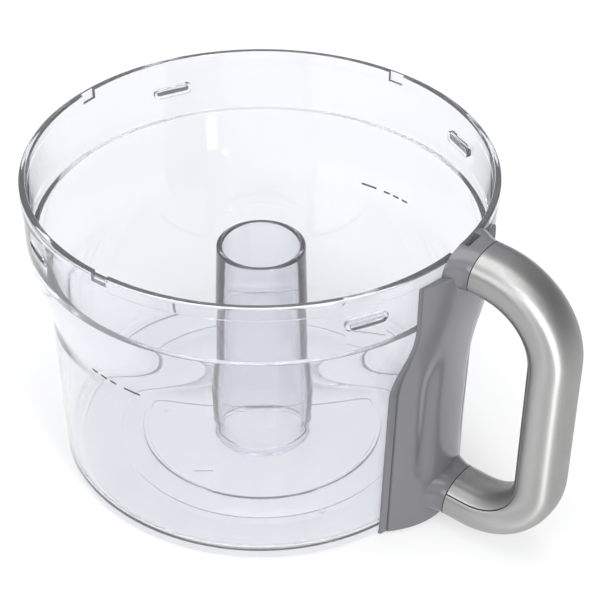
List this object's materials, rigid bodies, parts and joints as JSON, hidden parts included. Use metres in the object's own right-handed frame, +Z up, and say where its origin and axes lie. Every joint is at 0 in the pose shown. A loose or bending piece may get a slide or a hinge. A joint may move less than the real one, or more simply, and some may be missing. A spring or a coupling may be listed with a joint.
{
  "type": "food processor bowl",
  "caption": "Clear food processor bowl with an open centre tube, lid ledge, D-shaped grip on a grey cover and a sprung lid interlock rod.",
  "frame": {"origin": "bottom centre of the bounding box, on the plane the foot ring stands on", "axes": "+Z up along the bowl, +X from the bowl's axis toward the handle, +Y to the right of someone who stands at the handle and looks at the bowl"},
  "size_m": [0.2606, 0.206, 0.149],
  "materials": {
    "clear_plastic": "clear gloss",
    "grey_plastic": "gloss",
    "grip_metal": "satin brushed",
    "dark_plastic": "matte",
    "rod_plastic": "satin",
    "screw_steel": "zinc plated",
    "spring_steel": "bright wire"
  },
  "bodies": {
    "bowl_body": {"bowl": "clear_plastic", "handle_cover": "grey_plastic", "grip_outer_shell": "grip_metal", "grip_inner_shell": "grip_metal", "core_left": "dark_plastic", "core_right": "dark_plastic", "core_screw_top": "screw_steel", "core_screw_middle": "screw_steel", "core_screw_bottom": "screw_steel", "root_screw_upper_left": "screw_steel", "root_screw_lower_left": "screw_steel", "root_screw_upper_right": "screw_steel", "root_screw_lower_right": "screw_steel", "cover_screw_left": "screw_steel", "cover_screw_right": "screw_steel", "rod_channel": "dark_plastic", "channel_cap": "dark_plastic", "rod_spring": "spring_steel", "spring_seat": "spring_steel"},
    "lid_rod": {"push_rod": "rod_plastic", "rod_head": "rod_plastic"}
  },
  "joints": [
    {"name": "lid_rod_slide", "type": "slide", "parent": "bowl_body", "child": "lid_rod", "axis": [0, 0, 1], "range_m": [-0.005, 0], "stiffness_N_per_m": 300, "springref_m": 0.003, "deforming": ["rod_spring"]}
  ]
}
